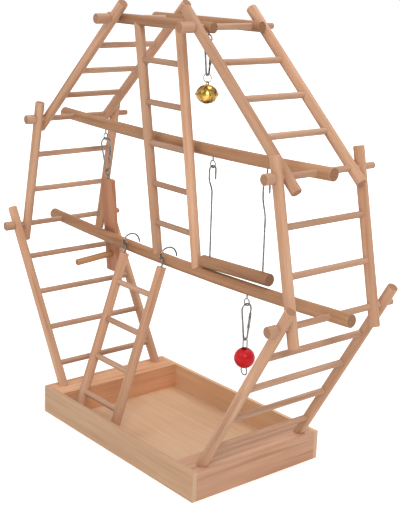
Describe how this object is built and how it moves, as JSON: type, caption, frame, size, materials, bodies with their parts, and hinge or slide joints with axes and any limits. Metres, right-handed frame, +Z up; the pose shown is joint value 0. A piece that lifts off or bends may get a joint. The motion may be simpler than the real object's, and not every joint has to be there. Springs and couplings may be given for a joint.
{
  "type": "parrot play stand",
  "caption": "Wooden play stand for a small parrot: ladder side frames on a shallow tray, perches, climbing ladder, leaning ladder, swing and hanging toys.",
  "frame": {"origin": "centre of the tray's underside, where the stand rests", "axes": "+X along the tray's long sides and the perches, +Y from the front of the stand to the rear, +Z up"},
  "size_m": [0.4685, 0.16, 0.4398],
  "materials": {
    "tray_wood": "satin",
    "end_block_wood": "satin",
    "floor_plywood": "matte",
    "rail_wood": "satin",
    "rod_wood": "satin",
    "bar_wood": "satin",
    "board_wood": "satin",
    "steel_wire": "satin",
    "silver_ring": "polished",
    "bell_metal": "polished",
    "red_plastic": "gloss"
  },
  "bodies": {
    "stand_frame": {"climbing_ladder_brads": "steel_wire", "climbing_ladder_left_rail": "rail_wood", "climbing_ladder_right_rail": "rail_wood", "climbing_ladder_rungs": "rail_wood", "low_cross_rods": "rod_wood", "lower_left_front_rail": "rail_wood", "lower_left_rear_rail": "rail_wood", "lower_left_rungs": "rail_wood", "lower_right_front_rail": "rail_wood", "lower_right_rear_rail": "rail_wood", "lower_right_rungs": "rail_wood", "middle_cross_rods": "rod_wood", "middle_left_front_rail": "rail_wood", "middle_left_rear_rail": "rail_wood", "middle_left_rungs": "rail_wood", "middle_perch_bar": "bar_wood", "middle_right_front_rail": "rail_wood", "middle_right_rear_rail": "rail_wood", "middle_right_rungs": "rail_wood", "rod_end_caps": "rod_wood", "screw_eyes": "steel_wire", "top_cross_rods": "rod_wood", "top_front_bar": "bar_wood", "top_rear_bar": "bar_wood", "tray_floor_panel": "floor_plywood", "tray_front_board": "tray_wood", "tray_left_end_block": "end_block_wood", "tray_rear_board": "tray_wood", "tray_right_end_block": "end_block_wood", "upper_left_front_rail": "rail_wood", "upper_left_rear_rail": "rail_wood", "upper_left_rungs": "rail_wood", "upper_perch_bar": "bar_wood", "upper_right_front_rail": "rail_wood", "upper_right_rear_rail": "rail_wood", "upper_right_rungs": "rail_wood"},
    "hook_on_ladder": {"hook_ladder_left_rail": "rail_wood", "hook_ladder_right_rail": "rail_wood", "hook_ladder_rungs": "rail_wood", "hook_ladder_hooks": "steel_wire"},
    "swing": {"swing_perch": "bar_wood", "swing_left_wire": "steel_wire", "swing_right_wire": "steel_wire"},
    "ball_hook": {"ball_snap_hook": "steel_wire"},
    "ball_hook_gate": {"ball_snap_gate": "steel_wire"},
    "ball_loop": {"ball_wire_loop": "steel_wire"},
    "ball": {"red_ball": "red_plastic"},
    "bell_hook": {"bell_snap_hook": "steel_wire"},
    "bell_hook_gate": {"bell_snap_gate": "steel_wire"},
    "bell_link": {"bell_ring": "silver_ring"},
    "bell": {"bell_upper_shell": "bell_metal", "bell_lower_shell": "bell_metal"},
    "pellet": {"bell_pellet": "bell_metal"},
    "board_hook": {"board_snap_hook": "steel_wire"},
    "board_hook_gate": {"board_snap_gate": "steel_wire"},
    "hanging_board": {"board_screw_eye": "steel_wire", "chew_board": "board_wood", "board_peg": "board_wood"}
  },
  "joints": [
    {"name": "hook_on_ladder_tip_forward", "type": "hinge", "parent": "stand_frame", "child": "hook_on_ladder", "pos_m": [-0.0495, -0.06508, 0.0033], "axis": [1, 0, 0], "range_deg": [0, 18]},
    {"name": "swing_to_and_fro", "type": "hinge", "parent": "stand_frame", "child": "swing", "pos_m": [0.0839, 0, 0.2896], "axis": [1, 0, 0], "range_deg": [-60, 60]},
    {"name": "ball_hook_swing", "type": "hinge", "parent": "stand_frame", "child": "ball_hook", "pos_m": [0.102, 0, 0.16788], "axis": [1, 0, 0], "range_deg": [-35, 35]},
    {"name": "ball_hook_gate_open", "type": "hinge", "parent": "ball_hook", "child": "ball_hook_gate", "pos_m": [0.102, 0.00349, 0.14613], "axis": [1, 0, 0], "range_deg": [0, 20], "stiffness_Nm_per_rad": 0.002, "springref_deg": -20.05},
    {"name": "ball_loop_swing", "type": "hinge", "parent": "ball_hook", "child": "ball_loop", "pos_m": [0.102, 0, 0.13403], "axis": [0, 1, 0], "range_deg": [-25, 25]},
    {"name": "ball_spin", "type": "hinge", "parent": "ball_loop", "child": "ball", "pos_m": [0.102, 0, 0.11603], "axis": [0, 0, 1], "continuous": true},
    {"name": "bell_hook_swing", "type": "hinge", "parent": "stand_frame", "child": "bell_hook", "pos_m": [0.0685, -0.0287, 0.40815], "axis": [0.9511, 0.309, 0], "range_deg": [-35, 35]},
    {"name": "bell_hook_gate_open", "type": "hinge", "parent": "bell_hook", "child": "bell_hook_gate", "pos_m": [0.06742, -0.02537, 0.38967], "axis": [0.9511, 0.309, 0], "range_deg": [0, 20], "stiffness_Nm_per_rad": 0.002, "springref_deg": -20.05},
    {"name": "bell_ring_swing", "type": "hinge", "parent": "bell_hook", "child": "bell_link", "pos_m": [0.0685, -0.0287, 0.3793], "axis": [-0.309, 0.9511, 0], "range_deg": [-25, 25]},
    {"name": "bell_rock", "type": "hinge", "parent": "bell_link", "child": "bell", "pos_m": [0.0685, -0.0287, 0.37295], "axis": [0.9511, 0.309, 0], "range_deg": [-20, 20]},
    {"name": "pellet_roll", "type": "hinge", "parent": "bell", "child": "pellet", "pos_m": [0.0685, -0.0287, 0.3627], "axis": [-0.309, 0.9511, 0], "range_deg": [-35, 35]},
    {"name": "board_hook_swing", "type": "hinge", "parent": "stand_frame", "child": "board_hook", "pos_m": [-0.1315, 0, 0.29046], "axis": [1, 0, 0], "range_deg": [0, 35]},
    {"name": "board_hook_gate_open", "type": "hinge", "parent": "board_hook", "child": "board_hook_gate", "pos_m": [-0.1315, 0.00525, 0.26906], "axis": [1, 0, 0], "range_deg": [0, 20], "stiffness_Nm_per_rad": 0.002, "springref_deg": -20.05},
    {"name": "board_sway", "type": "hinge", "parent": "board_hook", "child": "hanging_board", "pos_m": [-0.1315, 0.00275, 0.25672], "axis": [0, 0.9967, 0.0814], "range_deg": [-15, 15]}
  ]
}
